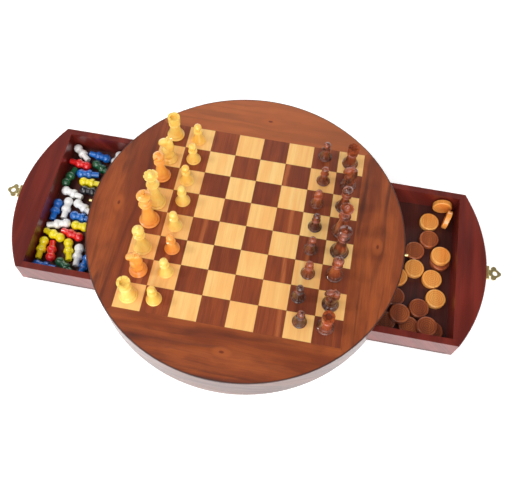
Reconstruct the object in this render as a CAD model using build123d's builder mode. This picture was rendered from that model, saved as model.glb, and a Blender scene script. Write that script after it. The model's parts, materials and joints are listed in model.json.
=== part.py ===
from build123d import *
import os
import random

import numpy as np

# Round walnut game set: a chess board inlaid in the lid of a round case, two drawers that
# pull out to the left and right, their contents, and the chess men standing on the board.
# Millimetres. The origin is the centre of the case's underside, +Z is up, the light side of
# the board is at -X and the dark side at +X. Both drawers are drawn where they stand open.

os.makedirs("parts", exist_ok=True)

# ---- driving dimensions: case ----
case_radius = 150.0
case_height = 40.0
lid_thickness = 5.0
veneer_thickness = 1.0
mitre_line = 0.1
bottom_thickness = 9.5
wall_inset = 0.5  # walls and drawer fronts stand this far inside the lid's edge
wall_thickness = 9.0
square = 25.4
squares_per_side = 8
edge_round = 0.8

# ---- driving dimensions: drawers ----
drawer_half_width = 78.5
drawer_side_thickness = 6.0
drawer_bottom_thickness = 3.0
front_chord_x = 121.5  # inner, straight face of a closed drawer's front
running_gap = 0.3
divider_thickness = 6.0
back_gap = 1.0  # from a closed drawer's back to the divider
stop_lip = 3.0  # the back stands this far past the sides and meets the guides' shoulders
stop_travel = 92.0
left_opening = 73.0
right_opening = 77.5

# ---- driving dimensions: latches ----
plate_width = 13.0
plate_height = 9.0
plate_thickness = 0.8
knuckle_radius = 1.3
knuckle_length = 2.6
barrel_radius = 1.0
barrel_play = 0.2
hinge_pin_radius = 0.5
pin_clearance = 0.05
hinge_offset = 1.2  # from the plate's face to the hinge line
eye_reach = 6.4  # from the hinge line to the centre of the eye
eye_radius = 4.4
eye_hole_radius = 2.2
lobe_radius = 2.5
neck_width = 6.0
hasp_thickness = 1.0
stud_radius = 1.2
stud_length = 3.4
stud_depth = 4.0

# ---- driving dimensions: contents ----
peg_length = 23.0
peg_stem_radius = 3.0
peg_belly_radius = 4.7
peg_head_radius = 4.6
draught_radius = 9.3
draught_thickness = 5.0
resting_gap = 0.1

# ---- levels and places worked out from them ----
lid_bottom = case_height - lid_thickness
veneer_bottom = case_height - veneer_thickness
wall_radius = case_radius - wall_inset
board_side = square * squares_per_side
drawer_bottom = bottom_thickness + running_gap
drawer_top = lid_bottom - running_gap
drawer_height = drawer_top - drawer_bottom
drawer_floor = drawer_bottom + drawer_bottom_thickness
inner_half_width = drawer_half_width - drawer_side_thickness
back_outer_x = divider_thickness / 2 + back_gap
back_inner_x = back_outer_x + drawer_side_thickness
guide_face = drawer_half_width + running_gap
front_end_x = (wall_radius**2 - drawer_half_width**2) ** 0.5
stud_height = lid_bottom + 2.5
hinge_height = stud_height - eye_reach
plate_x = wall_radius + 0.05
hinge_x = plate_x + plate_thickness + hinge_offset


def save(piece, name):
    """Label a finished piece and write it to its own file."""
    piece.part.label = name
    export_step(piece.part, f"parts/{name}.step")


# ---- case ----
def make_lid_core():
    with BuildPart() as core:
        with BuildSketch(Plane.XY.offset(lid_bottom)):
            Circle(case_radius)
        extrude(amount=lid_thickness - veneer_thickness)
        fillet(core.edges().filter_by(GeomType.CIRCLE).group_by(Axis.Z)[0], edge_round)
    return core


def make_border_veneer():
    """Four walnut segments round the board, mitred from its corners out to the lid's edge."""
    with BuildPart() as border:
        with BuildSketch(Plane.XY.offset(veneer_bottom)):
            Circle(case_radius)
            Rectangle(board_side, board_side, mode=Mode.SUBTRACT)
            for mitre_angle in (45, 135):
                Rectangle(2.1 * case_radius, mitre_line, rotation=mitre_angle, mode=Mode.SUBTRACT)
        extrude(amount=veneer_thickness)
        rim = border.faces().sort_by(Axis.Z)[-4:].edges().filter_by(GeomType.CIRCLE)
        fillet(rim, edge_round)
    return border


def make_squares(light):
    """Every other square of the board; the near left square is a light one."""
    with BuildPart() as squares:
        with BuildSketch(Plane.XY.offset(veneer_bottom)):
            for column in range(squares_per_side):
                for row in range(squares_per_side):
                    if ((column + row) % 2 == 1) == light:
                        with Locations(square_centre(column, row)):
                            Rectangle(square, square)
        extrude(amount=veneer_thickness)
    return squares


def square_centre(column, row):
    """Column 0 is at -X, the light men's side, and row 0 is the far row."""
    middle = (squares_per_side - 1) / 2
    return ((column - middle) * square, (middle - row) * square)


def make_case_walls():
    """The near and far curved walls, between the two drawer openings."""
    with BuildPart() as walls:
        with BuildSketch(Plane.XY.offset(bottom_thickness)):
            Circle(wall_radius)
            Circle(wall_radius - wall_thickness, mode=Mode.SUBTRACT)
            Rectangle(3 * case_radius, 2 * guide_face, mode=Mode.SUBTRACT)
        extrude(amount=lid_bottom - bottom_thickness)
    return walls


def make_drawer_guides():
    """Two rails with a shoulder near each mouth, and the divider between the drawers."""
    shoulder_x = back_outer_x + stop_travel + drawer_side_thickness
    clear_face = guide_face + stop_lip
    rail_back = clear_face + 8.0
    rail_end = ((wall_radius - wall_thickness - 1.0) ** 2 - rail_back**2) ** 0.5
    with BuildPart() as guides:
        with BuildSketch(Plane.XY.offset(bottom_thickness)):
            for side in (1, -1):
                with BuildLine():
                    Polyline(
                        (-rail_end, side * guide_face),
                        (-shoulder_x, side * guide_face),
                        (-shoulder_x, side * clear_face),
                        (shoulder_x, side * clear_face),
                        (shoulder_x, side * guide_face),
                        (rail_end, side * guide_face),
                        (rail_end, side * rail_back),
                        (-rail_end, side * rail_back),
                        close=True,
                    )
                make_face()
            Rectangle(divider_thickness, 2 * clear_face - 2 * running_gap)
        extrude(amount=lid_bottom - bottom_thickness)
    return guides


def make_peg_board():
    """The bottom panel, with the 121 holes of the star board drilled in its underside."""
    hole_depth = 6.0
    hole_radius = peg_stem_radius + 0.3
    pitch = 19.0
    with BuildPart() as panel:
        Cylinder(wall_radius, bottom_thickness, align=(Align.CENTER, Align.CENTER, Align.MIN))
        fillet(panel.edges().filter_by(GeomType.CIRCLE).group_by(Axis.Z)[0], edge_round)
        with BuildSketch(Plane.XY):
            with Locations(*star_points(pitch)):
                Circle(hole_radius)
        extrude(amount=hole_depth, mode=Mode.SUBTRACT)
    return panel


def star_points(pitch):
    """The 121 points of a six-pointed star on a triangular grid: two triangles overlaid."""
    reach = 4
    points = []
    for a in range(-2 * reach, 2 * reach + 1):
        for b in range(-2 * reach, 2 * reach + 1):
            c = -a - b
            upward = max(a, b, c) <= reach
            downward = min(a, b, c) >= -reach
            if upward or downward:
                points.append((pitch * (a + b / 2), pitch * b * 3**0.5 / 2))
    return points


def make_latch_studs():
    """A small brass pin with a rounded head in the lid's edge over each drawer."""
    with BuildPart() as studs:
        for side in (1, -1):
            root = side * (case_radius - stud_depth)
            with BuildSketch(Plane(origin=(root, 0, stud_height), z_dir=(side, 0, 0))):
                Circle(stud_radius)
            extrude(amount=stud_depth + stud_length)
        tips = studs.faces().sort_by(Axis.X)
        fillet(tips[0].edges() + tips[-1].edges(), stud_radius * 0.6)
    return studs


# ---- drawers: drawn for the right-hand side, closed, and then placed open ----
def drawer_plane(side, opening, height):
    """Plane whose X runs out of the case along the drawer's travel (side +1 right, -1 left)."""
    return Plane(origin=(side * opening, 0, height), x_dir=(side, 0, 0), z_dir=(0, 0, 1))


def make_drawer_front(side, opening):
    """Solid front: straight inside, and outside an arc that continues the case's wall."""
    with BuildPart() as front:
        with BuildSketch(drawer_plane(side, opening, drawer_bottom)):
            with BuildLine():
                ThreePointArc(
                    (front_end_x, -drawer_half_width),
                    (wall_radius, 0),
                    (front_end_x, drawer_half_width),
                )
                Polyline(
                    (front_end_x, drawer_half_width),
                    (front_chord_x, drawer_half_width),
                    (front_chord_x, -drawer_half_width),
                    (front_end_x, -drawer_half_width),
                )
            make_face()
        extrude(amount=drawer_height)
        outer = front.faces().sort_by(Axis.X)[-1 if side > 0 else 0]
        fillet(outer.edges(), edge_round)
    return front


def make_drawer_sides(side, opening):
    with BuildPart() as sides:
        with BuildSketch(drawer_plane(side, opening, drawer_floor)):
            length = front_chord_x - back_inner_x
            centre_y = drawer_half_width - drawer_side_thickness / 2
            with Locations((back_inner_x + length / 2, centre_y), (back_inner_x + length / 2, -centre_y)):
                Rectangle(length, drawer_side_thickness)
        extrude(amount=drawer_top - drawer_floor)
    return sides


def make_drawer_back(side, opening):
    """The back is a little wider than the drawer, so that it stops against the guides."""
    with BuildPart() as back:
        with BuildSketch(drawer_plane(side, opening, drawer_floor)):
            with Locations(((back_outer_x + back_inner_x) / 2, 0)):
                Rectangle(drawer_side_thickness, 2 * (drawer_half_width + stop_lip - running_gap))
        extrude(amount=drawer_top - drawer_floor)
    return back


def make_drawer_bottom(side, opening):
    with BuildPart() as bottom:
        with BuildSketch(drawer_plane(side, opening, drawer_bottom)):
            length = front_chord_x - back_outer_x
            with Locations((back_outer_x + length / 2, 0)):
                Rectangle(length, 2 * drawer_half_width)
        extrude(amount=drawer_bottom_thickness)
    return bottom


# ---- latches ----
def hinge_plane(side, opening, y):
    """Plane square to the hasp's hinge line, with its origin on that line."""
    origin = (side * (opening + hinge_x), y, hinge_height)
    return Plane(origin=origin, x_dir=(side, 0, 0), z_dir=(0, side, 0))


def make_latch_plate(side, opening):
    """Brass plate on the drawer's front, with two nails, two hinge knuckles and their pin."""
    nail_radius = 0.9
    nail_inset = 2.6
    plate_top = hinge_height + knuckle_radius
    face_x = side * (opening + plate_x + plate_thickness)
    with BuildPart() as plate:
        with BuildSketch(drawer_plane(side, opening, plate_top - plate_height)):
            with Locations((plate_x + plate_thickness / 2, 0)):
                Rectangle(plate_thickness, plate_width)
        extrude(amount=plate_height)
        fillet(plate.edges().filter_by(Axis.X).group_by(Axis.Z)[0], 1.5)
        with BuildSketch(Plane(origin=(face_x, 0, 0), x_dir=(0, side, 0), z_dir=(side, 0, 0))):
            nail_y = plate_width / 2 - nail_inset
            nail_z = plate_top - plate_height + nail_inset
            with Locations((nail_y, nail_z), (-nail_y, nail_z)):
                Circle(nail_radius)
        extrude(amount=0.45, taper=35)
        for centre_y in (plate_width - knuckle_length, knuckle_length - plate_width):
            with BuildSketch(hinge_plane(side, opening, centre_y / 2)):
                Circle(knuckle_radius)
            extrude(amount=knuckle_length / 2, both=True)
        with BuildSketch(hinge_plane(side, opening, 0)):
            Circle(hinge_pin_radius)
        extrude(amount=plate_width / 2, both=True)
    return plate


def make_latch_hasp(side, opening):
    """The swinging hasp: a barrel round the pin, and a three-lobed leaf with the eye in it."""
    barrel_length = plate_width - 2 * knuckle_length - 2 * barrel_play
    leaf_plane = drawer_plane(side, opening, hinge_height - hasp_thickness / 2)
    with BuildPart() as hasp:
        with BuildSketch(hinge_plane(side, opening, 0)):
            Circle(barrel_radius)
        extrude(amount=barrel_length / 2, both=True)
        with BuildSketch(leaf_plane):
            with Locations((hinge_x + eye_reach, 0)):
                Circle(eye_radius)
                for lobe_angle, lobe_offset in ((0, 3.1), (105, 4.6), (-105, 4.6)):
                    with PolarLocations(lobe_offset, 1, start_angle=lobe_angle):
                        Circle(lobe_radius)
            with Locations((hinge_x + eye_reach / 2, 0)):
                Rectangle(eye_reach, neck_width)
        extrude(amount=hasp_thickness)
        with BuildSketch(leaf_plane):
            with Locations((hinge_x + eye_reach, 0)):
                Circle(eye_hole_radius)
        extrude(amount=hasp_thickness, mode=Mode.SUBTRACT)
        with BuildSketch(hinge_plane(side, opening, 0)):
            Circle(hinge_pin_radius + pin_clearance)
        extrude(amount=barrel_length / 2, both=True, mode=Mode.SUBTRACT)
    return hasp


# ---- draughts ----
def make_draught():
    """A turned disc with a rounded edge and ring grooves on both faces."""
    groove_depth = 0.35
    groove_width = 0.7
    with BuildPart() as disc:
        Cylinder(draught_radius, draught_thickness)
        fillet(disc.edges().filter_by(GeomType.CIRCLE), 0.9)
        for ring in (7.2, 5.4, 3.6, 1.8):
            for level in (draught_thickness / 2 - groove_depth, -draught_thickness / 2):
                with BuildSketch(Plane.XY.offset(level)):
                    Circle(ring)
                    Circle(ring - groove_width, mode=Mode.SUBTRACT)
                extrude(amount=groove_depth, mode=Mode.SUBTRACT)
    return disc.part


# Where each draught lies in the right drawer as drawn: x, y, layer. A draught of layer 1 lies on
# one of layer 0. Those standing on edge have the heading of their face instead of a layer.
light_draught_places = [
    (175, 52, 0),
    (187, 14, 1),
    (164, -1.5, 0),
    (149, -13, 0),
    (181.3, -9.5, 0),
    (186, -29, 0),
    (133, 17, 0),
    (122, -6, 0),
    (128, 44, 0),
    (99, 30, 0),
]
light_draughts_on_edge = [(185.5, 68.8, -90), (190.8, 54.5, -16)]
dark_draught_places = [
    (176, 32.5, 0),
    (163, 17.4, 0),
    (187.8, 10.5, 0),
    (148, -34, 0),
    (171, -41.5, 0),
    (163, -61, 0),
    (153, -52, 1),
    (185, -61.5, 0),
    (178.5, -60, 1),
    (141.5, -60, 0),
    (112, -46, 0),
    (103, -14, 0),
]


def make_draughts(places, on_edge=()):
    disc = make_draught()
    layer_height = draught_thickness + resting_gap
    with BuildPart() as draughts:
        for x, y, layer in places:
            z = drawer_floor + resting_gap + draught_thickness / 2 + layer * layer_height
            with Locations((x, y, z)):
                add(disc)
        for x, y, heading in on_edge:
            z = drawer_floor + resting_gap + draught_radius
            upright = Location((0, 0, 0), (0, 90, 0))
            with Locations(Location((x, y, z), (0, 0, heading)) * upright):
                add(disc)
    return draughts


# ---- pegs ----
def make_peg():
    """A halma peg along +X: stem end at the origin, belly, waist and ball head."""
    stem_end = 7.6
    belly_end = 12.6
    waist_radius = 3.5
    chamfer_size = 0.4
    head_centre = peg_length - peg_head_radius
    waist_x = head_centre - (peg_head_radius**2 - waist_radius**2) ** 0.5
    with BuildPart() as peg:
        with BuildSketch(Plane.XZ):
            with BuildLine():
                Polyline(
                    (0, 0),
                    (0, peg_stem_radius - chamfer_size),
                    (chamfer_size, peg_stem_radius),
                    (stem_end, peg_stem_radius),
                )
                Line((stem_end, peg_stem_radius), (stem_end, peg_belly_radius - 0.5))
                ThreePointArc(
                    (stem_end, peg_belly_radius - 0.5),
                    (stem_end + 1.2, peg_belly_radius),
                    (belly_end, waist_radius + 0.15),
                )
                Line((belly_end, waist_radius + 0.15), (waist_x, waist_radius))
                ThreePointArc(
                    (waist_x, waist_radius),
                    (head_centre + 1.0, (peg_head_radius**2 - 1.0) ** 0.5),
                    (peg_length, 0),
                )
                Line((peg_length, 0), (0, 0))
            make_face()
        revolve(axis=Axis.X)
    return peg.part


# Pegs that can be seen: colour, x, y, height of the centre above the floor, heading and pitch.
# Heading is the way the head points, counter-clockwise from +X; pitch lifts the head.
peg_places = [
    ("white", -184, 62, 9, 100, 35),
    ("blue", -166, 61, 14, 0, 0),
    ("white", -149, 60, 9, 60, 40),
    ("red", -182, 50, 8, 12, 0),
    ("green", -160, 50, 14, 175, 0),
    ("blue", -174, 39, 14, 180, 0),
    ("green", -187, 32, 5, 240, 0),
    ("yellow", -164, 27, 14, 180, 0),
    ("white", -179, 16, 14, 130, 0),
    ("black", -164, 18, 5, 175, 0),
    ("yellow", -153, 4, 12, 75, 0),
    ("white", -180, -5, 14, 135, 0),
    ("white", -167, -2, 12, 135, 0),
    ("blue", -188, -8, 5, 60, 0),
    ("blue", -163, -10, 5, 160, 0),
    ("white", -181, -21, 14, 12, 0),
    ("yellow", -163, -24, 14, 150, 0),
    ("yellow", -182, -36, 14, -20, 0),
    ("red", -169, -30, 5, 10, 0),
    ("red", -181, -51, 14, -45, 0),
    ("yellow", -160, -46, 14, 100, 0),
    ("black", -150, -38, 12, 95, 0),
    ("yellow", -187, -54, 5, 60, 0),
    ("white", -152, -54, 5, 100, 0),
    ("blue", -182, -65, 5, 170, 0),
    ("green", -160, -63, 8, 170, 0),
    ("blue", -143, -58, 8, 80, 0),
]
pegs_per_colour = 10
peg_colours = ("blue", "red", "green", "yellow", "white", "black")

# The peg as a row of balls along its axis, for letting the pile settle: place, radius.
peg_balls = np.array(
    [(1.6, 2.9), (4.6, 3.1), (8.5, 4.6), (10.4, 4.6), (14.2, 3.7), (16.6, 4.3), (18.4, 4.75)]
)


def start_pile():
    """The visible pegs, then the rest thrown at random into the drawer's hidden half."""
    chance = random.Random(7)
    colours = [place[0] for place in peg_places]
    centres = [(x, y, drawer_floor + height) for _, x, y, height, _, _ in peg_places]
    turns = [(heading, pitch) for _, _, _, _, heading, pitch in peg_places]
    for colour in peg_colours:
        while colours.count(colour) < pegs_per_colour:
            colours.append(colour)
            x = chance.uniform(-132, -92)
            centres.append((x, chance.uniform(-62, 62), drawer_floor + chance.uniform(5, 18)))
            turns.append((chance.uniform(0, 360), 0))
    heading, pitch = np.radians(np.array(turns, float)).T
    axes = np.stack([np.cos(heading) * np.cos(pitch), np.sin(heading) * np.cos(pitch), np.sin(pitch)], 1)
    return colours, np.array(centres, float), axes


def settle_pegs():
    """Push overlapping pegs apart and into the drawer until the pile is free of contact."""
    colours, centres, axes = start_pile()
    gap = 0.6
    offsets = peg_balls[:, 0] - peg_length / 2
    radii = np.tile(peg_balls[:, 1], len(colours))
    owner = np.repeat(np.arange(len(colours)), len(peg_balls))
    reach = radii[:, None] + radii[None, :] + gap
    low = np.array([-left_opening - front_chord_x, -inner_half_width, drawer_floor])
    high = np.array([-left_opening - back_inner_x, inner_half_width, drawer_top])
    for step in range(1500):
        balls = (centres[:, None, :] + offsets[None, :, None] * axes[:, None, :]).reshape(-1, 3)
        away = balls[:, None, :] - balls[None, :, :]
        distance = np.linalg.norm(away, axis=2) + 1e-9
        depth = np.where(owner[:, None] == owner[None, :], 0, np.clip(reach - distance, 0, None))
        push = (away / distance[..., None] * depth[..., None]).sum(1) * 0.35
        push += np.clip(low + radii[:, None] + gap - balls, 0, None)
        push -= np.clip(balls - (high - radii[:, None] - gap), 0, None)
        sinking = 0.04 if step < 900 else 0.0
        push[:, 2] -= sinking
        by_peg = push.reshape(len(colours), len(peg_balls), 3)
        centres += by_peg.mean(1)
        axes += (by_peg * offsets[None, :, None]).sum(1) / (offsets**2).sum()
        axes /= np.linalg.norm(axes, axis=1)[:, None]
    return colours, centres, axes


def make_pegs(colour, colours, centres, axes):
    peg = make_peg()
    with BuildPart() as pegs:
        for its_colour, centre, axis in zip(colours, centres, axes):
            if its_colour != colour:
                continue
            stem_end = centre - axis * peg_length / 2
            across = np.cross(axis, (0, 0, 1))
            plane = Plane(origin=tuple(stem_end), x_dir=tuple(axis), z_dir=tuple(np.cross(across, axis)))
            with Locations(plane.location):
                add(peg)
    return pegs


# ---- chess men ----
def turned(profile_lines):
    """Revolve an outline drawn in the XZ half plane round the man's own axis."""
    with BuildPart() as man:
        with BuildSketch(Plane.XZ):
            with BuildLine():
                profile_lines()
            make_face()
        revolve(axis=Axis.Z)
    return man.part


def ball_outline(neck_radius, ball_radius, top):
    """A ball on the man's axis, from its neck to its top; the axis closes the outline."""
    centre = top - ball_radius
    neck = centre - (ball_radius**2 - neck_radius**2) ** 0.5
    ThreePointArc((neck_radius, neck), (ball_radius, centre), (0, top))
    Line((0, top), (0, 0))
    return (neck_radius, neck)


def stem_outline(base, neck_radius, neck_height, collar_radius):
    """Foot, bell, concave stem and collar, as all the men share them; ends on the collar."""
    rim = base * 0.22
    bell, bell_top = base * 0.74, rim * 3.1
    Line((0, 0), (base - 0.6, 0))
    ThreePointArc((base - 0.6, 0), (base, rim / 2), (base - 0.6, rim))
    Line((base - 0.6, rim), (base * 0.86, rim + 0.3))
    ThreePointArc((base * 0.86, rim + 0.3), (base * 0.84, rim * 2.2), (bell, bell_top))
    waist = (neck_radius + 0.4 * (bell - neck_radius), (bell_top + neck_height) * 0.52)
    Spline((bell, bell_top), waist, (neck_radius, neck_height))
    Line((neck_radius, neck_height), (collar_radius - 0.5, neck_height + 0.5))
    ThreePointArc(
        (collar_radius - 0.5, neck_height + 0.5),
        (collar_radius, neck_height + 1.1),
        (collar_radius - 0.5, neck_height + 1.7),
    )
    return (collar_radius - 0.5, neck_height + 1.7)


def make_pawn():
    height, head = 25.0, 3.8

    def outline():
        end = stem_outline(7.2, 2.4, 13.6, 4.4)
        neck = ball_outline(2.4, head, height)
        Polyline(end, (2.4, end[1] + 0.6), neck)

    return turned(outline)


def make_rook():
    height, tower, bore, bore_depth = 29.0, 6.0, 3.5, 3.5
    notch_width, notch_depth = 1.1, 0.9

    def outline():
        end = stem_outline(8.6, 4.2, 17.0, 5.6)
        Line(end, (4.3, end[1] + 0.6))
        ThreePointArc((4.3, end[1] + 0.6), (4.6, end[1] + 2.2), (tower, end[1] + 4.0))
        Polyline(
            (tower, end[1] + 4.0),
            (tower, height),
            (bore, height),
            (bore, height - bore_depth),
            (0, height - bore_depth),
            (0, 0),
        )

    body = turned(outline)
    with BuildPart() as rook:
        add(body)
        with BuildSketch(Plane.XY.offset(height - notch_depth)):
            with PolarLocations(tower, 6):
                Rectangle(2 * bore, notch_width)
        extrude(amount=2 * notch_depth, mode=Mode.SUBTRACT)
    return rook.part


def make_bishop():
    height, head = 40.0, 5.4

    def outline():
        end = stem_outline(8.6, 2.9, 23.0, 5.4)
        Line(end, (3.0, end[1] + 0.6))
        Line((3.0, end[1] + 0.6), (3.9, end[1] + 1.6))
        Line((3.9, end[1] + 1.6), (3.0, end[1] + 2.6))
        shoulder = (3.2, end[1] + 3.4)
        Line((3.0, end[1] + 2.6), shoulder)
        neck = ball_outline(1.1, 1.5, height)
        ThreePointArc(shoulder, (head, shoulder[1] + 3.4), neck)

    body = turned(outline)
    with BuildPart() as bishop:
        add(body)
        with BuildSketch(Plane((3.2, 0, height - 7.0), x_dir=(0, 1, 0), z_dir=(0.55, 0, 0.84))):
            Rectangle(14.0, 9.0)
        extrude(amount=0.8, mode=Mode.SUBTRACT)
    return bishop.part


def make_queen():
    height, crown = 51.0, 6.8

    def outline():
        end = stem_outline(9.4, 3.3, 31.0, 6.2)
        Line(end, (3.6, end[1] + 0.6))
        Line((3.6, end[1] + 0.6), (4.9, end[1] + 1.6))
        Line((4.9, end[1] + 1.6), (3.6, end[1] + 2.6))
        ThreePointArc((3.6, end[1] + 2.6), (4.1, end[1] + 7.0), (crown, height - 4.6))
        Line((crown, height - 4.6), (crown - 0.6, height - 4.2))
        neck = ball_outline(1.6, 2.2, height)
        ThreePointArc((crown - 0.6, height - 4.2), (4.2, height - 4.7), neck)

    body = turned(outline)
    with BuildPart() as queen:
        add(body)
        with BuildSketch(Plane.XY.offset(height - 5.8)):
            with PolarLocations(crown + 0.3, 9):
                Circle(1.1)
        extrude(amount=3.0, mode=Mode.SUBTRACT)
    return queen.part


def make_king():
    height, crown, cross = 51.0, 6.6, 4.5

    def outline():
        end = stem_outline(9.6, 3.4, 30.0, 6.4)
        Line(end, (3.7, end[1] + 0.6))
        Line((3.7, end[1] + 0.6), (5.0, end[1] + 1.6))
        Line((5.0, end[1] + 1.6), (3.7, end[1] + 2.6))
        top = height - cross
        Line((3.7, end[1] + 2.6), (crown, top - 2.6))
        ThreePointArc((crown, top - 2.6), (crown - 0.2, top - 1.6), (crown - 0.9, top - 1.2))
        ThreePointArc((crown - 0.9, top - 1.2), (3.0, top - 0.1), (0, top + 0.3))
        Line((0, top + 0.3), (0, 0))

    body = turned(outline)
    arm = 2.7
    thick = 2.4
    with BuildPart() as king:
        add(body)
        with BuildSketch(Plane.YZ.offset(-thick / 2)):
            centre = height - cross / 2 + 0.3
            with BuildLine():
                half = [
                    (1.7, height - cross),
                    (0.8, centre - 0.8),
                    (arm, centre - 1.5),
                    (arm, centre + 1.5),
                    (0.8, centre + 0.8),
                    (1.6, height),
                ]
                other_half = [(-y, z) for y, z in reversed(half)]
                Polyline(*half, *other_half, close=True)
            make_face()
        extrude(amount=thick)
    return king.part


def make_knight():
    """Turned foot and stem with a horse's head, drawn in profile and facing +X."""
    height, head_length, head_thickness = 35.0, 18.8, 10.4

    def outline():
        end = stem_outline(8.6, 4.6, 11.0, 6.4)
        Line(end, (5.0, end[1] + 0.7))
        Line((5.0, end[1] + 0.7), (0, end[1] + 0.7))
        Line((0, end[1] + 0.7), (0, 0))

    body = turned(outline)
    with BuildPart() as head:
        with BuildSketch(Plane.XZ.offset(-head_thickness / 2)):
            with BuildLine():
                Polyline((4.6, 12.6), (3.6, 17.5), (4.2, 22.0), (3.0, 24.0))
                Line((3.0, 24.0), (6.2, 22.4))
                ThreePointArc((6.2, 22.4), (8.3, 23.6), (7.9, 26.2))
                Line((7.9, 26.2), (3.2, 32.4))
                ThreePointArc((3.2, 32.4), (1.2, height), (-1.6, 33.4))
                ThreePointArc((-1.6, 33.4), (-6.6, 26.0), (-5.4, 12.6))
                Line((-5.4, 12.6), (4.6, 12.6))
            make_face()
        extrude(amount=head_thickness)
        with BuildSketch():
            with Locations((1.0, 0)):
                Ellipse(head_length / 2, head_thickness / 2)
        extrude(amount=height + 1, mode=Mode.INTERSECT)
    with BuildPart() as knight:
        add(body)
        add(head)
    return knight.part


back_row = ("rook", "knight", "bishop", "queen", "king", "bishop", "knight", "rook")
wings = ("far_", "far_", "far_", "", "", "near_", "near_", "near_")
standing_gap = 0.05
dark_size = 0.92  # the dark men against the light ones

# How far each man stands from the middle of its square, from the far row to the near one.
light_officer_shifts = (
    (0, 0), (0, -3.5), (-2, 1), (0, -3.5), (-1.5, 1.5), (-0.5, -2), (1.5, 0.5), (-1, 0.5),
)
light_pawn_shifts = (
    (-1.5, -2), (-1.5, 0), (-2.5, 0), (-1, 2.5), (-2, 0), (1, 2), (1, 3.5), (-3, 1),
)
dark_officer_shifts = (
    (-1, 0), (0, 0), (-1.5, 0), (-1, -1), (0.5, 3), (-1, 4), (-1, 0.5), (-2.5, 4),
)
dark_pawn_shifts = (
    (-1, 3), (1, 0), (-1.5, -1), (0, -1), (-0.5, 0), (0.5, 1), (-4.5, 2), (0, 4.5),
)


def place_man(man, column, row, shift):
    """Stand a man on the board, near the middle of its square and turned to look along -X."""
    x, y = square_centre(column, row)
    place = Location((x + shift[0], y + shift[1], case_height + standing_gap), (0, 0, 180))
    with BuildPart() as placed:
        with Locations(place):
            add(man)
    return placed


def make_side(colour, men, officer_column, officer_shifts, pawn_column, pawn_shifts):
    """The sixteen men of one colour: a row of officers, and a row of pawns in front of them."""
    for row, kind in enumerate(back_row):
        officer = place_man(men[kind], officer_column, row, officer_shifts[row])
        save(officer, f"{colour}_{wings[row]}{kind}")
        pawn = place_man(men["pawn"], pawn_column, row, pawn_shifts[row])
        save(pawn, f"{colour}_pawn_{row + 1}")


def make_chess_men():
    light_men = {
        "pawn": make_pawn(),
        "rook": make_rook(),
        "knight": make_knight(),
        "bishop": make_bishop(),
        "queen": make_queen(),
        "king": make_king(),
    }
    dark_men = {kind: scale(man, by=dark_size) for kind, man in light_men.items()}
    make_side("light", light_men, 0, light_officer_shifts, 1, light_pawn_shifts)
    make_side("dark", dark_men, 7, dark_officer_shifts, 6, dark_pawn_shifts)


save(make_lid_core(), "board_core")
save(make_border_veneer(), "border_veneer")
save(make_squares(light=True), "light_squares")
save(make_squares(light=False), "dark_squares")
save(make_case_walls(), "case_walls")
save(make_drawer_guides(), "drawer_guides")
save(make_peg_board(), "peg_board")
save(make_latch_studs(), "latch_studs")

drawers = (("left", -1, left_opening), ("right", 1, right_opening))
for drawer_name, drawer_side, drawer_opening in drawers:
    save(make_drawer_front(drawer_side, drawer_opening), f"{drawer_name}_drawer_front")
    save(make_drawer_sides(drawer_side, drawer_opening), f"{drawer_name}_drawer_sides")
    save(make_drawer_back(drawer_side, drawer_opening), f"{drawer_name}_drawer_back")
    save(make_drawer_bottom(drawer_side, drawer_opening), f"{drawer_name}_drawer_bottom")
    save(make_latch_plate(drawer_side, drawer_opening), f"{drawer_name}_latch_plate")
    save(make_latch_hasp(drawer_side, drawer_opening), f"{drawer_name}_latch_hasp")

save(make_draughts(light_draught_places, light_draughts_on_edge), "light_draughts")
save(make_draughts(dark_draught_places), "dark_draughts")

settled = settle_pegs()
for peg_colour in peg_colours:
    save(make_pegs(peg_colour, *settled), f"{peg_colour}_pegs")

make_chess_men()
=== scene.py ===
import json
import math

import bmesh
import bpy
from mathutils import Matrix, Vector


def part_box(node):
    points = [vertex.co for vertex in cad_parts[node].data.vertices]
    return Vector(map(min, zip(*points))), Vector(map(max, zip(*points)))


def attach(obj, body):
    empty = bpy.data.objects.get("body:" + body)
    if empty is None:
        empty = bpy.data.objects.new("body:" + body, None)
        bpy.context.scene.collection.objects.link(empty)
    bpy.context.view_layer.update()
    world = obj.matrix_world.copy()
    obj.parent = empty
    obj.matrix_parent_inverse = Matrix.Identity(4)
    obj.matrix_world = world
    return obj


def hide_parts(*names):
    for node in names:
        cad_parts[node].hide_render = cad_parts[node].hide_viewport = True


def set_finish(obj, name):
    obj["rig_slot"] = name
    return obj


# Looks for the round walnut game set. Everything is in metres, in the CAD model's own frame.
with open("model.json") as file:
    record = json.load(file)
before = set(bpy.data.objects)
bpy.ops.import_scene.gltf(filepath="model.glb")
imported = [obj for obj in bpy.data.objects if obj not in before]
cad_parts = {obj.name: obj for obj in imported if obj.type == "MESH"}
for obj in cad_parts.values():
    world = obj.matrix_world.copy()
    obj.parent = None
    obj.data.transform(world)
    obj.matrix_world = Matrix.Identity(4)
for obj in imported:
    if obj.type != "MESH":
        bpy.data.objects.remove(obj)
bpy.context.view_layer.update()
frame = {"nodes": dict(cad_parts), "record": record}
nodes = frame["nodes"]

_, board_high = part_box("light_squares")
_, lid_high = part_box("border_veneer")
MM = 0.001
TABLE_TOP = board_high.z

# Materials work in millimetres.
SQUARE_MM = board_high.x / 4 / MM
CASE_RADIUS_MM = lid_high.x / MM
TABLE_TOP_MM = TABLE_TOP / MM

# Roughness where the fibres are smoothest and where they are roughest.
GLOSSY = (0.24, 0.34)
SATIN = (0.34, 0.46)


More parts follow.
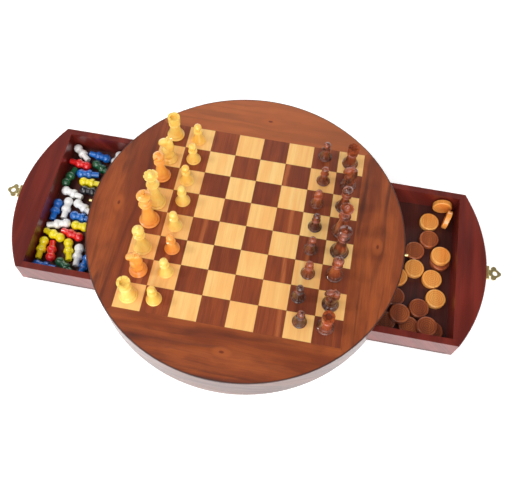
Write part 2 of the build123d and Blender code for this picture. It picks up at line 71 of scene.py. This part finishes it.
# ---- shader building ----
class Shader:
    """A material with one Principled surface, and short calls for the nodes it is built from."""

    def __init__(self, name):
        self.material = bpy.data.materials.new(name)
        self.material.use_nodes = True
        self.tree = self.material.node_tree
        self.tree.nodes.clear()
        self.surface = self.tree.nodes.new("ShaderNodeBsdfPrincipled")
        output = self.tree.nodes.new("ShaderNodeOutputMaterial")
        self.tree.links.new(self.surface.outputs["BSDF"], output.inputs["Surface"])
        self.place = self.tree.nodes.new("ShaderNodeTexCoord").outputs["Object"]

    def put(self, value, socket):
        """Link value to a socket if it is one itself, or else set it there."""
        if isinstance(value, bpy.types.NodeSocket):
            self.tree.links.new(value, socket)
        else:
            socket.default_value = value

    def math(self, operation, a, b=0.0):
        node = self.tree.nodes.new("ShaderNodeMath")
        node.operation = operation
        self.put(a, node.inputs[0])
        self.put(b, node.inputs[1])
        return node.outputs[0]

    def plus(self, a, b):
        return self.math("ADD", a, b)

    def minus(self, a, b):
        return self.math("SUBTRACT", a, b)

    def times(self, a, b):
        return self.math("MULTIPLY", a, b)

    def over(self, a, b):
        return self.math("DIVIDE", a, b)

    def size_of(self, value):
        return self.math("ABSOLUTE", value)

    def split(self, vector):
        node = self.tree.nodes.new("ShaderNodeSeparateXYZ")
        self.put(vector, node.inputs[0])
        return node.outputs[0], node.outputs[1], node.outputs[2]

    def join(self, x, y, z):
        node = self.tree.nodes.new("ShaderNodeCombineXYZ")
        for value, socket in zip((x, y, z), node.inputs):
            self.put(value, socket)
        return node.outputs[0]

    def noise(self, vector, scale=1.0, detail=2.0, distortion=0.0):
        node = self.tree.nodes.new("ShaderNodeTexNoise")
        self.put(vector, node.inputs["Vector"])
        node.inputs["Scale"].default_value = scale
        node.inputs["Detail"].default_value = detail
        node.inputs["Distortion"].default_value = distortion
        return node.outputs["Fac"]

    def grain(self, along, across, seed, along_rate, across_rate, detail=2.0, distortion=0.0):
        """Noise with a rate of its own, per millimetre, along the grain and across it."""
        place = self.join(self.times(along, along_rate), self.times(across, across_rate), seed)
        return self.noise(place, detail=detail, distortion=distortion)

    def upright_grain(self, x, y, z, seed, across_rate, along_rate, detail):
        """Noise for wood that stands with its grain along Z."""
        height = self.plus(self.times(z, along_rate), seed)
        place = self.join(self.times(x, across_rate), self.times(y, across_rate), height)
        return self.noise(place, detail=detail)

    def chance(self, vector):
        """A random number from 0 to 1 for each separate value of vector."""
        node = self.tree.nodes.new("ShaderNodeTexWhiteNoise")
        self.put(vector, node.inputs["Vector"])
        return node.outputs["Value"]

    def span(self, value, low, high, to_low=0.0, to_high=1.0):
        """value stretched from low..high to to_low..to_high, and held there."""
        node = self.tree.nodes.new("ShaderNodeMapRange")
        node.interpolation_type = "SMOOTHSTEP"
        for item, socket in zip((value, low, high, to_low, to_high), node.inputs):
            self.put(item, socket)
        return node.outputs[0]

    def mix(self, amount, a, b):
        """The colour a, turning into the colour b as amount goes from 0 to 1."""
        node = self.tree.nodes.new("ShaderNodeMix")
        node.data_type = "RGBA"
        self.put(amount, node.inputs["Factor"])
        self.put(a if isinstance(a, bpy.types.NodeSocket) else (*a, 1.0), node.inputs[6])
        self.put(b if isinstance(b, bpy.types.NodeSocket) else (*b, 1.0), node.inputs[7])
        return node.outputs[2]

    def grey(self, value):
        """value as a neutral colour."""
        return self.join(value, value, value)

    def openness(self, reach_mm):
        """1 where the surface lies open, and less down in grooves and corners."""
        node = self.tree.nodes.new("ShaderNodeAmbientOcclusion")
        node.samples = 8
        node.inputs["Distance"].default_value = reach_mm * MM
        return node.outputs["AO"]

    def bump(self, height, strength, depth_mm):
        node = self.tree.nodes.new("ShaderNodeBump")
        self.put(height, node.inputs["Height"])
        node.inputs["Strength"].default_value = strength
        node.inputs["Distance"].default_value = depth_mm * MM
        self.tree.links.new(node.outputs["Normal"], self.surface.inputs["Normal"])

    def finish(self, colour, roughness, **sockets):
        """Set the surface's colour and roughness, and any other of its sockets by name."""
        self.put(colour, self.surface.inputs["Base Color"])
        self.put(roughness, self.surface.inputs["Roughness"])
        for name, value in sockets.items():
            self.surface.inputs[name.replace("_", " ")].default_value = value
        return self.material


def linear(red, green, blue):
    """An 8-bit display colour as the linear values that a shader takes."""
    def one(value):
        value /= 255
        return value / 12.92 if value <= 0.04045 else ((value + 0.055) / 1.055) ** 2.4
    return one(red), one(green), one(blue)


def place_mm(s):
    x, y, z = s.split(s.place)
    return tuple(s.times(value, 1000.0) for value in (x, y, z))


def square_under(s, x, y):
    """The column and the row of the board square at x, y, counted from the board's middle."""
    return s.math("FLOOR", s.over(x, SQUARE_MM)), s.math("FLOOR", s.over(y, SQUARE_MM))


# ---- wood ----
def wood_figure(s, along, across, seed, ring_mm, waviness):
    """Growth lines, fibres and pores of a sawn veneer; along and across are in millimetres.

    The growth lines are the contours of a height that rises across the grain and swells gently
    along it, so they run in long wavy streaks, unevenly spaced, and close into arches."""
    swell = s.grain(along, across, seed, 0.006, 0.03)
    height = s.plus(s.over(across, ring_mm), s.times(swell, waviness * 10))
    wobble = s.grain(along, across, seed, 0.05, 0.4)
    ring = s.math("FRACT", s.plus(height, s.times(wobble, 0.3)))
    line = s.times(s.span(ring, 0.3, 0.8), s.span(ring, 0.8, 1.0, 1.0, 0.0))
    depth = s.grain(along, height, seed, 0.012, 0.9)
    lines = s.times(line, s.span(depth, 0.42, 0.7))
    fibres = s.grain(along, across, seed, 0.03, 1.1, detail=3.0)
    pores = s.grain(along, across, seed, 0.2, 3.4, detail=1.0)
    return lines, fibres, s.span(pores, 0.64, 0.76)


def bend_round_knot(s, along_knot, out_from_knot):
    """How far the streaks are pushed aside, in millimetres, as they part round a knot and close again."""
    knot_length, knot_width = 17.0, 2.5
    furthest, fading = -5.0, 0.12
    reach = s.over(along_knot, knot_length)
    near_knot = s.over(1.0, s.plus(1.0, s.times(reach, reach)))
    side = s.over(out_from_knot, s.plus(knot_width, s.size_of(out_from_knot)))
    fall = s.over(1.0, s.plus(1.0, s.times(s.size_of(out_from_knot), fading)))
    return s.times(s.times(near_knot, s.times(side, fall)), furthest)


def add_knot(s, colour, along_knot, out_from_knot):
    """Pale wood rings a small knot, whose heart is dark."""
    away = s.plus(s.times(s.times(along_knot, along_knot), 0.3), s.times(out_from_knot, out_from_knot))
    colour = s.mix(s.span(away, 8.0, 34.0, 0.55, 0.0), colour, linear(178, 92, 44))
    return s.mix(s.span(away, 0.3, 2.6, 0.8, 0.0), colour, linear(96, 34, 20))


def add_painted_rim_shade(s, colour, x, y):
    """The lid's outer rim is painted darker: painted shade and a painted dark reflection along its rounded
    edge.
    """
    from_middle = s.math("SQRT", s.plus(s.times(x, x), s.times(y, y)))
    # Painted shade: darker over the last 1.8 mm out to the rim.
    rim_shade = s.span(from_middle, CASE_RADIUS_MM - 1.8, CASE_RADIUS_MM - 0.6, 0.0, 0.85)
    return s.mix(rim_shade, colour, linear(40, 16, 12))


def border_colour(s, along, across, seed, lines, fibres, pores):
    """Walnut: clouds and mottling, broad dark streaks, and the figure over them."""
    clouds = s.grain(along, across, seed, 0.009, 0.05)
    broad = s.grain(along, across, seed, 0.008, 0.085, detail=3.0, distortion=0.5)
    mottle = s.grain(along, across, seed, 0.05, 0.12, detail=3.0)
    colour = s.mix(s.span(clouds, 0.35, 0.65), linear(134, 60, 26), linear(168, 84, 38))
    colour = s.mix(s.span(mottle, 0.4, 0.7, 0.0, 0.4), colour, linear(112, 48, 24))
    colour = s.mix(s.span(fibres, 0.35, 0.7, 0.0, 0.3), colour, linear(104, 44, 22))
    colour = s.mix(s.span(broad, 0.52, 0.7, 0.0, 0.8), colour, linear(76, 32, 20))
    colour = s.mix(s.times(lines, 0.6), colour, linear(66, 27, 17))
    return s.mix(s.times(pores, 0.3), colour, linear(70, 32, 22))


def border_material():
    """Walnut veneer in four matched segments, each with a small knot near its middle."""
    knot_along, knot_outward = 2.0, 124.0
    s = Shader("border_walnut")
    x, y, _ = place_mm(s)
    at_end = s.math("GREATER_THAN", s.size_of(y), s.size_of(x))

    def choose(when_side, when_end):
        return s.plus(s.times(s.minus(1.0, at_end), when_side), s.times(at_end, when_end))

    along = choose(y, x)
    outward = choose(s.size_of(x), s.size_of(y))
    quarter = choose(s.math("SIGN", x), s.times(s.math("SIGN", y), 2.0))
    along_knot = s.minus(along, knot_along)
    out_from_knot = s.minus(outward, knot_outward)
    across = s.plus(outward, bend_round_knot(s, along_knot, out_from_knot))
    seed = s.plus(s.times(quarter, 0.37), 4.2)
    lines, fibres, pores = wood_figure(s, along, across, seed, ring_mm=11.0, waviness=0.3)
    colour = border_colour(s, along, across, seed, lines, fibres, pores)
    # The far segment is painted paler than the other three: painted light for the brighter light on the far
    # side.
    far_painted_light = s.times(at_end, s.math("GREATER_THAN", y, 0.0))
    colour = s.mix(s.times(far_painted_light, 0.4), colour, linear(206, 118, 66))
    colour = add_knot(s, colour, along_knot, out_from_knot)
    # Painted shade and painted reflection along the lid's outer rim.
    colour = add_painted_rim_shade(s, colour, x, y)
    s.bump(s.minus(fibres, s.times(pores, 0.8)), 0.12, 0.2)
    return s.finish(colour, s.span(fibres, 0.2, 0.8, *SATIN), Coat_Weight=0.3, Coat_Roughness=0.2)


def add_glue_line(s, colour, across_cell, along_cell):
    """A hair of dark glue shows where two squares meet."""
    edge_x = s.minus(0.5, s.size_of(s.minus(across_cell, 0.5)))
    edge_y = s.minus(0.5, s.size_of(s.minus(along_cell, 0.5)))
    edge = s.math("MINIMUM", edge_x, edge_y)
    return s.mix(s.span(edge, 0.002, 0.012, 0.55, 0.0), colour, linear(84, 44, 28))


def square_material(name, light, deep, line_colour, stripe, stripe_share, line_strength):
    """One veneer of the chess board. Every square is its own piece, with its own tone and figure.

    stripe_share is the share of the squares that hold a stripe of sapwood along the grain."""
    s = Shader(name)
    x, y, _ = place_mm(s)
    column, row = square_under(s, x, y)
    luck = s.chance(s.join(column, row, 3.0))
    other_luck = s.chance(s.join(row, column, 8.0))
    across = s.plus(x, s.times(luck, 400.0))
    lines, fibres, pores = wood_figure(s, y, across, s.times(luck, 9.0), ring_mm=6.0, waviness=0.15)
    clouds = s.grain(y, across, 2.0, 0.02, 0.12)
    tone = s.plus(clouds, s.times(s.minus(other_luck, 0.5), 0.3))
    colour = s.mix(s.span(tone, 0.25, 0.75), deep, light)
    across_cell = s.math("FRACT", s.over(x, SQUARE_MM))
    along_cell = s.math("FRACT", s.over(y, SQUARE_MM))
    drift = s.times(s.noise(s.join(s.times(y, 0.03), luck, 4.0)), 0.25)
    centre = s.plus(s.times(other_luck, 0.8), drift)
    distance = s.size_of(s.minus(across_cell, centre))
    has_stripe = s.math("LESS_THAN", luck, stripe_share)
    colour = s.mix(s.times(has_stripe, s.span(distance, 0.02, 0.13, 0.8, 0.0)), colour, stripe)
    colour = s.mix(s.span(fibres, 0.35, 0.75, 0.0, line_strength), colour, line_colour)
    colour = s.mix(s.times(lines, line_strength), colour, line_colour)
    colour = s.mix(s.times(pores, 0.25), colour, line_colour)
    colour = add_glue_line(s, colour, across_cell, along_cell)
    s.bump(fibres, 0.08, 0.2)
    return s.finish(colour, s.span(fibres, 0.2, 0.8, *SATIN), Coat_Weight=0.4, Coat_Roughness=0.2)


def plain_wood(name, light, deep, line_colour, axis="x", roughness=(0.28, 0.4), coat=0.6,
               coat_roughness=0.12, ring_mm=7.0, line_strength=0.45, painted_groove_shade=0.0):
    """Solid wood with its grain along one axis of the frame.

    Its last argument is how much painted shade darkens turned grooves and corners."""
    s = Shader(name)
    x, y, z = place_mm(s)
    ways = {"x": (x, y, z), "y": (y, x, z)}
    along, across, third = ways[axis]
    slanted = s.plus(across, s.times(third, 0.7))
    lines, fibres, pores = wood_figure(s, along, slanted, 0.5, ring_mm=ring_mm, waviness=0.2)
    clouds = s.grain(along, slanted, 2.0, 0.01, 0.08)
    colour = s.mix(s.span(clouds, 0.35, 0.65), deep, light)
    colour = s.mix(s.span(fibres, 0.35, 0.75, 0.0, line_strength), colour, line_colour)
    colour = s.mix(s.times(lines, line_strength), colour, line_colour)
    colour = s.mix(s.times(pores, 0.3), colour, line_colour)
    # Painted shade: the colour darkens where grooves and corners are less open.
    if painted_groove_shade:
        colour = s.mix(s.span(s.openness(0.8), 0.5, 0.95, painted_groove_shade, 0.0), colour, line_colour)
    s.bump(s.minus(fibres, pores), 0.10, 0.2)
    return s.finish(colour, s.span(fibres, 0.2, 0.8, *roughness), Coat_Weight=coat,
                    Coat_Roughness=coat_roughness)


def turned_wood(name, light, deep, foot, foot_share, glow, roughness, coat_roughness):
    """A turned man's wood: each man has its own tone, and its foot may be darker than its head.

    glow is how far light spreads inside it, which gives thin necks and heads a warm edge."""
    s = Shader(name)
    x, y, z = place_mm(s)
    column, row = square_under(s, x, y)
    luck = s.chance(s.join(column, row, 6.0))
    seed = s.times(luck, 60.0)
    fibres = s.upright_grain(x, y, z, seed, 0.9, 0.05, detail=3.0)
    clouds = s.upright_grain(x, y, z, seed, 0.1, 0.07, detail=2.0)
    tone = s.plus(clouds, s.times(s.minus(luck, 0.5), 0.35))
    colour = s.mix(s.span(tone, 0.3, 0.7), deep, light)
    above_board = s.minus(z, TABLE_TOP_MM)
    colour = s.mix(s.span(above_board, 3.0, 14.0, foot_share, 0.0), colour, foot)
    colour = s.mix(s.span(fibres, 0.4, 0.8, 0.0, 0.3), colour, foot)
    s.bump(fibres, 0.08, 0.2)
    return s.finish(
        colour, s.span(fibres, 0.2, 0.8, *roughness), Coat_Weight=0.8, Coat_Roughness=coat_roughness,
        Subsurface_Weight=glow, Subsurface_Radius=(1.0, 0.5, 0.25), Subsurface_Scale=3 * MM)


# ---- paint and brass ----
def gloss_paint(name, colour, shade):
    """Dipped gloss paint on a small turning: slightly uneven, with a wet-looking surface."""
    s = Shader(name)
    x, y, z = place_mm(s)
    cloud = s.noise(s.join(x, y, z), scale=0.12)
    mottle = s.noise(s.join(x, y, z), scale=1.3)
    paint = s.mix(s.span(cloud, 0.3, 0.7, 0.0, 0.35), colour, shade)
    paint = s.mix(s.span(mottle, 0.62, 0.8, 0.0, 0.12), paint, shade)
    s.bump(mottle, 0.05, 0.3)
    return s.finish(paint, s.span(cloud, 0.3, 0.7, 0.22, 0.34), Coat_Weight=1.0, Coat_Roughness=0.05)


def brass(name):
    """Polished brass with fine scratches along X and patches of tarnish."""
    s = Shader(name)
    x, y, z = place_mm(s)
    scratches = s.noise(s.join(s.times(x, 0.6), s.times(y, 9.0), z), detail=3.0)
    tarnish = s.noise(s.join(x, y, z), scale=0.5)
    colour = s.mix(s.span(tarnish, 0.45, 0.75, 0.0, 0.5), linear(246, 226, 160), linear(206, 172, 104))
    s.bump(scratches, 0.1, 0.1)
    return s.finish(colour, s.span(scratches, 0.3, 0.7, 0.28, 0.44), Metallic=1.0)


# ---- the set's materials ----
CASE_COLOURS = (linear(104, 56, 36), linear(80, 40, 26), linear(56, 26, 18))

# Each paint's colour, and the shade that it drifts towards in patches.
PAINTS = {
    "blue": (linear(24, 110, 200), linear(14, 66, 160)),
    "red": (linear(240, 28, 30), linear(196, 14, 20)),
    "green": (linear(24, 92, 54), linear(10, 58, 36)),
    "yellow": (linear(255, 236, 20), linear(246, 208, 10)),
    "white": (linear(252, 250, 248), linear(234, 230, 226)),
    "black": (linear(24, 24, 30), linear(44, 44, 54)),
}

MATERIALS = {
    "border_walnut": border_material(),
    "maple_veneer": square_material(
        "maple_veneer", linear(255, 210, 132), linear(252, 190, 112), linear(234, 158, 88),
        stripe=linear(255, 214, 138), stripe_share=0.2, line_strength=0.25),
    "walnut_veneer": square_material(
        "walnut_veneer", linear(156, 74, 36), linear(124, 54, 28), linear(84, 34, 20),
        stripe=linear(190, 104, 56), stripe_share=0.3, line_strength=0.4),
    "lid_core_wood": plain_wood("lid_core_wood", *CASE_COLOURS, coat=0.4, coat_roughness=0.06),
    "case_lacquer": plain_wood("case_lacquer", *CASE_COLOURS, coat=0.4, coat_roughness=0.06),
    "guide_wood": plain_wood(
        "guide_wood", linear(186, 150, 108), linear(160, 122, 84), linear(130, 94, 62),
        roughness=(0.55, 0.7), coat=0.0),
    "drawer_mahogany": plain_wood(
        "drawer_mahogany", linear(126, 42, 30), linear(100, 28, 20), linear(62, 18, 13),
        axis="y", coat=0.35, coat_roughness=0.1, ring_mm=14.0, line_strength=0.3),
    "latch_brass": brass("latch_brass"),
    "draught_maple": plain_wood(
        "draught_maple", linear(255, 192, 100), linear(255, 168, 74), linear(230, 128, 48),
        axis="y", ring_mm=5.0, coat=1.0, painted_groove_shade=0.9),
    "draught_brown": plain_wood(
        "draught_brown", linear(204, 108, 52), linear(158, 74, 36), linear(100, 44, 22),
        axis="y", ring_mm=5.0, coat=1.0, painted_groove_shade=0.9),
    "boxwood": turned_wood(
        "boxwood", linear(255, 222, 116), linear(255, 204, 90), linear(255, 172, 66),
        foot_share=0.2, glow=0.1, roughness=SATIN, coat_roughness=0.12),
    "stained_wood": turned_wood(
        "stained_wood", linear(170, 78, 36), linear(76, 32, 18), linear(46, 18, 11),
        foot_share=0.6, glow=0.2, roughness=GLOSSY, coat_roughness=0.04),
}
for paint_name, (paint_colour, paint_shade) in PAINTS.items():
    slot = f"{paint_name}_gloss_paint"
    MATERIALS[slot] = gloss_paint(slot, paint_colour, paint_shade)

# The drawers' floors are painted darker than the rest of them: painted shade down in the drawers and
# between the pegs.
SHADED_DRAWER_FLOOR = plain_wood(
    "drawer_floor_painted_shade", linear(92, 36, 26), linear(68, 24, 18), linear(40, 14, 12),
    axis="y", roughness=(0.4, 0.55), coat=0.0, ring_mm=14.0)

# Four of the light men are a warmer colour than the others.
WARM_MEN = ("light_near_knight", "light_king", "light_far_bishop", "light_pawn_6")
WARM_BOXWOOD = turned_wood(
    "warm_boxwood", linear(255, 182, 78), linear(252, 160, 60), linear(240, 134, 48),
    foot_share=0.4, glow=0.1, roughness=SATIN, coat_roughness=0.2)


def dress_cad_nodes():
    """Give every CAD node the material of its slot, except the warm men and the drawers' floors, which get
    painted shade.
    """
    for row in frame["record"]["subparts"]:
        node = nodes[row["node"]]
        node.data.materials.clear()
        material = MATERIALS[row["material_slot"]]
        if row["node"] in WARM_MEN:
            material = WARM_BOXWOOD
        # The drawers' floors get the darker material that carries painted shade.
        if row["node"].endswith("_drawer_bottom"):
            material = SHADED_DRAWER_FLOOR
        node.data.materials.append(material)
        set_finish(node, row["material_slot"])


# ---- carved knights ----
# Each lump of a knight that faces +X: its middle and half widths in millimetres, from the middle of
# the foot's underside, and its lean towards +X in degrees.
KNIGHT_LUMPS = (
    ((0.0, 0.0, 1.9), (7.4, 7.4, 4.6), 0),
    ((0.0, 0.0, 8.0), (5.9, 5.6, 6.5), 0),
    ((0.6, 0.0, 14.0), (5.4, 4.9, 7.5), -6),
    ((-2.0, 0.0, 20.5), (4.7, 4.1, 8.5), -4),
    ((-1.0, 0.0, 27.6), (5.2, 3.3, 5.4), 32),
    ((3.0, 0.0, 27.0), (6.0, 3.6, 3.7), 36),
    ((5.7, 0.0, 24.0), (2.8, 2.8, 2.7), 0),
    ((2.2, 0.0, 23.8), (3.6, 3.5, 3.1), 20),
    ((-0.8, 1.6, 32.6), (1.2, 1.0, 2.2), -15),
    ((-0.8, -1.6, 32.6), (1.2, 1.0, 2.2), -15),
)
KNIGHT_FOOT_RADIUS = 8.6
KNIGHT_FOOT_TOP_RADIUS = 8.3
KNIGHT_FOOT_HEIGHT = 1.9


def knight_shape():
    """The foot and the lumps of a knight that faces +X, in millimetres, not yet joined."""
    shape = bmesh.new()
    bmesh.ops.create_cone(
        shape, cap_ends=True, segments=64, radius1=KNIGHT_FOOT_RADIUS, radius2=KNIGHT_FOOT_TOP_RADIUS,
        depth=KNIGHT_FOOT_HEIGHT, matrix=Matrix.Translation((0, 0, KNIGHT_FOOT_HEIGHT / 2)))
    for middle, half_widths, lean in KNIGHT_LUMPS:
        lean_turn = Matrix.Rotation(math.radians(lean), 4, "Y")
        matrix = Matrix.Translation(middle) @ lean_turn @ Matrix.Diagonal((*half_widths, 1.0))
        bmesh.ops.create_uvsphere(shape, u_segments=32, v_segments=20, radius=1.0, matrix=matrix)
    return shape


def carve(piece):
    """Join a piece's lumps into one skin and soften it, as carving and sanding would."""
    remesh = piece.modifiers.new("remesh", "REMESH")
    remesh.mode = "VOXEL"
    remesh.voxel_size = 0.4 * MM
    remesh.use_smooth_shade = True
    smooth = piece.modifiers.new("smooth", "SMOOTH")
    smooth.factor = 0.5
    smooth.iterations = 8


def carve_knight(name):
    """A carved knight that faces -X, in place of its CAD node and as large."""
    node_low, node_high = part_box(name)
    metres_per_mm = (node_high.x - node_low.x) / (2 * KNIGHT_FOOT_RADIUS)
    mesh = bpy.data.meshes.new(name + "_carved")
    shape = knight_shape()
    shape.to_mesh(mesh)
    shape.free()
    middle_x = (node_low.x + node_high.x) / 2
    middle_y = (node_low.y + node_high.y) / 2
    about_face = Matrix.Rotation(math.pi, 4, "Z")
    mesh.transform(Matrix.Translation((middle_x, middle_y, node_low.z)) @ about_face
                   @ Matrix.Scale(metres_per_mm, 4))
    mesh.materials.append(nodes[name].data.materials[0])
    knight = bpy.data.objects.new(name + "_carved", mesh)
    bpy.context.scene.collection.objects.link(knight)
    carve(knight)
    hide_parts(name)
    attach(knight, name)
    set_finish(knight, nodes[name]["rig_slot"])


def carve_knights():
    for name in sorted(nodes):
        if name.endswith("knight"):
            carve_knight(name)


# ---- stage, light and camera ----
def stage_outline():
    """The stage from near its middle to the top of its wall, as distances and heights in metres."""
    radius, bend, wall_top = 6.0, 0.8, 2.4
    bend_steps = 8
    outline = [(0.5, 0.0), (3.0, 0.0)]
    for step in range(bend_steps + 1):
        angle = math.radians(90 * step / bend_steps)
        outline.append((radius - bend + bend * math.sin(angle), bend - bend * math.cos(angle)))
    outline.append((radius, wall_top))
    return outline


def stage_mesh(turns=96):
    """The stage's outline turned about Z, and closed in the middle by a fan of triangles."""
    outline = stage_outline()
    points = [(0.0, 0.0, 0.0)]
    for away, height in outline:
        for turn in range(turns):
            angle = 2 * math.pi * turn / turns
            points.append((away * math.cos(angle), away * math.sin(angle), height))
    faces = [(0, 1 + turn, 1 + (turn + 1) % turns) for turn in range(turns)]
    for ring in range(len(outline) - 1):
        start = 1 + ring * turns
        for turn in range(turns):
            following = (turn + 1) % turns
            faces.append((start + turn, start + turns + turn, start + turns + following, start + following))
    mesh = bpy.data.meshes.new("floor")
    mesh.from_pydata(points, [], faces)
    mesh.shade_smooth()
    return mesh


def stage_material():
    """Off-white paper that gives back a little light of its own."""
    s = Shader("floor_white")
    x, y, z = place_mm(s)
    paper = s.noise(s.join(x, y, z), scale=0.01)
    shade = s.span(paper, 0.3, 0.7, 0.84, 0.86)
    return s.finish(s.grey(shade), 0.6, Emission_Color=(1, 1, 1, 1), Emission_Strength=0.55)


def make_stage():
    """A pale round floor that sweeps up into a low wall."""
    floor = bpy.data.objects.new("floor", stage_mesh())
    bpy.context.scene.collection.objects.link(floor)
    floor.data.materials.append(stage_material())


def add_area_light(name, place, width, power, height=None):
    """A light aimed at the board's middle: round, or rectangular where it has a height too."""
    data = bpy.data.lights.new(name, "AREA")
    data.shape = "RECTANGLE" if height else "DISK"
    data.size = width
    data.size_y = height or width
    data.energy = power
    light = bpy.data.objects.new(name, data)
    light.visible_camera = False
    bpy.context.scene.collection.objects.link(light)
    aim = Vector((0, 0, TABLE_TOP))
    light.location = place
    light.rotation_mode = "QUATERNION"
    light.rotation_quaternion = (Vector(place) - aim).to_track_quat("Z", "Y")


def make_lights():
    """A dim white room with five lamps: places and widths in metres, powers in watts."""
    world = bpy.data.worlds.new("studio")
    bpy.context.scene.world = world
    world.use_nodes = True
    background = world.node_tree.nodes["Background"]
    background.inputs["Color"].default_value = (1, 1, 1, 1)
    background.inputs["Strength"].default_value = 0.07
    add_area_light("front", (-0.2, -1.2, 1.5), width=2.6, power=21)
    add_area_light("low_front", (0.1, -1.5, 0.6), width=1.6, power=16)
    add_area_light("key", (-1.0, -0.15, 1.3), width=0.18, power=5.5)
    add_area_light("fill", (1.3, -0.3, 1.2), width=1.2, power=3)
    add_area_light("far_strip", (-0.1, 1.5, 0.9), width=3.0, power=13, height=0.6)


def make_camera():
    """A camera in front of the set and above it, a little to the right and slightly tilted."""
    azimuth, elevation, roll = math.radians(8.22), math.radians(63.39), math.radians(2.59)
    distance = 0.6015
    target = Vector((0.0091, -0.0163, TABLE_TOP))
    back = Vector((math.sin(azimuth) * math.cos(elevation), -math.cos(azimuth) * math.cos(elevation),
                   math.sin(elevation)))
    right = Vector((math.cos(azimuth), math.sin(azimuth), 0))
    up = back.cross(right)
    tilted_right = math.cos(roll) * right + math.sin(roll) * up
    tilted_up = -math.sin(roll) * right + math.cos(roll) * up
    data = bpy.data.cameras.new("camera")
    data.sensor_width = 36
    data.lens = 46.18
    data.clip_start = 0.01
    camera = bpy.data.objects.new("camera", data)
    bpy.context.scene.collection.objects.link(camera)
    camera.matrix_world = Matrix.Translation(target + back * distance) @ Matrix(
        (tilted_right, tilted_up, back)).transposed().to_4x4()
    bpy.context.scene.camera = camera


dress_cad_nodes()
carve_knights()
make_stage()
make_lights()
make_camera()
bpy.context.scene.view_settings.view_transform = "Standard"
